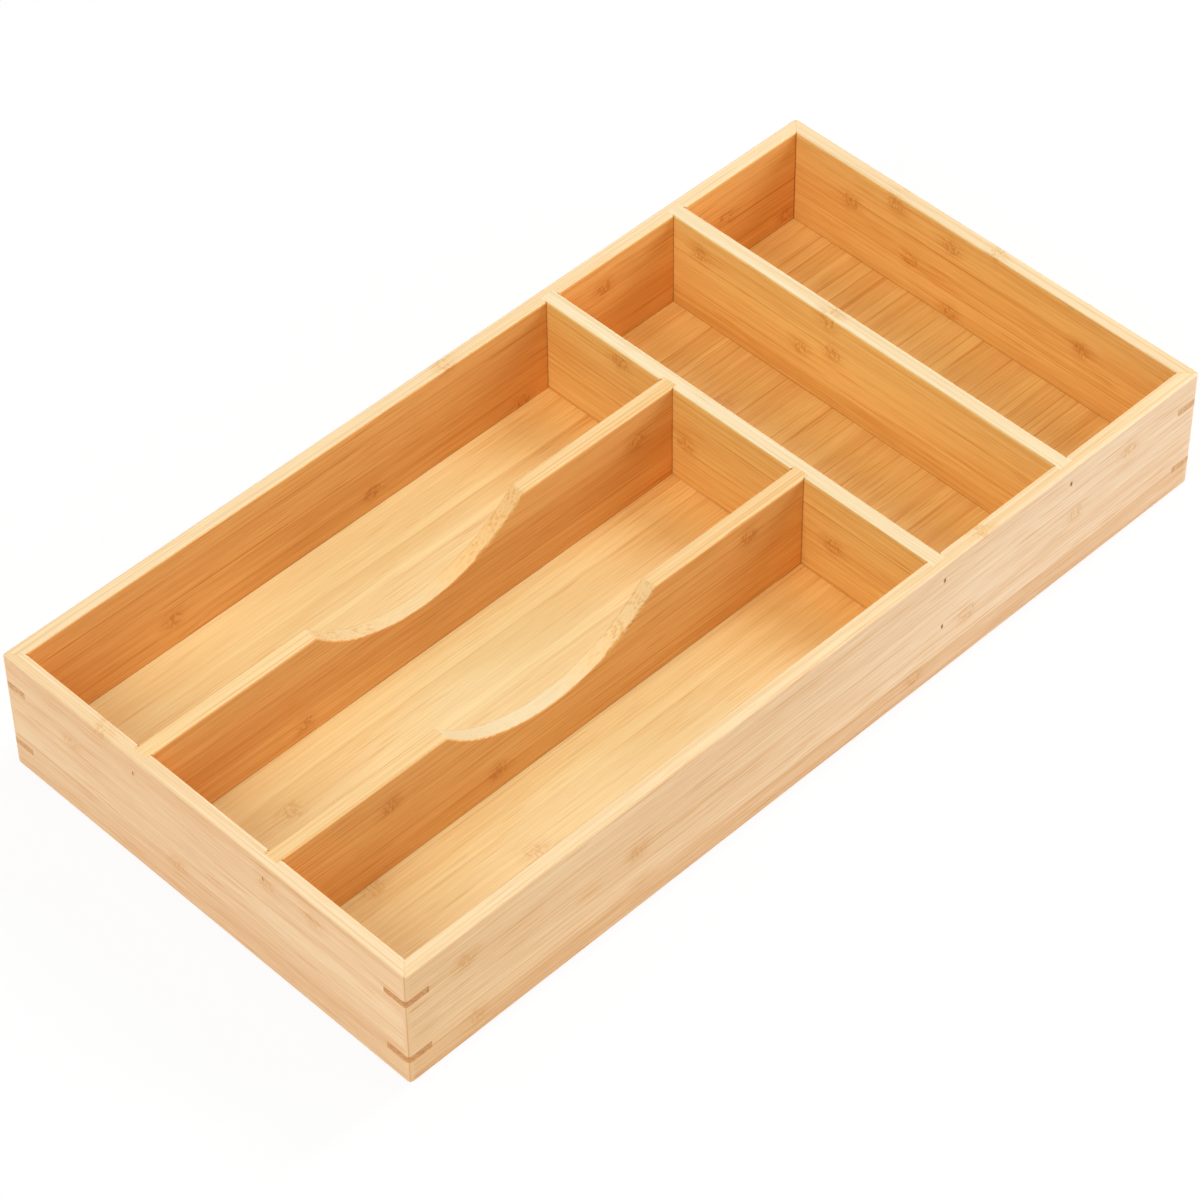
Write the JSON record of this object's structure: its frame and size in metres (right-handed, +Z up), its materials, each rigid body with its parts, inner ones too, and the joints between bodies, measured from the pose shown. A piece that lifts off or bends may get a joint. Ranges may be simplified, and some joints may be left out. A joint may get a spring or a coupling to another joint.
{
  "type": "cutlery tray",
  "caption": "Open bamboo tray that sorts cutlery into long bays side by side and shorter crosswise bays behind them, with finger scoops in the long dividers.",
  "frame": {"origin": "centre of the outer footprint, on the surface that the tray stands on", "axes": "+X towards the right long wall, +Y towards the back wall with the crosswise bays, +Z up"},
  "size_m": [0.194, 0.38, 0.053],
  "materials": {
    "wall_bamboo": "pale laminated bamboo, satin clear coat",
    "divider_bamboo": "laminated bamboo, satin clear coat",
    "base_bamboo": "edge-glued bamboo board, satin clear coat",
    "key_bamboo": "darker bamboo, sanded flush, satin clear coat",
    "brad_steel": "dull dark steel"
  },
  "bodies": {
    "root": {"front_wall": "wall_bamboo", "back_wall": "wall_bamboo", "left_wall": "wall_bamboo", "right_wall": "wall_bamboo", "base_panel": "base_bamboo", "front_cross_divider": "divider_bamboo", "rear_cross_divider": "divider_bamboo", "left_long_divider": "divider_bamboo", "right_long_divider": "divider_bamboo", "front_left_lower_key": "key_bamboo", "front_left_upper_key": "key_bamboo", "front_right_lower_key": "key_bamboo", "front_right_upper_key": "key_bamboo", "back_left_lower_key": "key_bamboo", "back_left_upper_key": "key_bamboo", "back_right_lower_key": "key_bamboo", "back_right_upper_key": "key_bamboo", "left_wall_brads": "brad_steel", "right_wall_brads": "brad_steel", "front_wall_brads": "brad_steel", "cross_divider_brads": "brad_steel"}
  },
  "joints": []
}
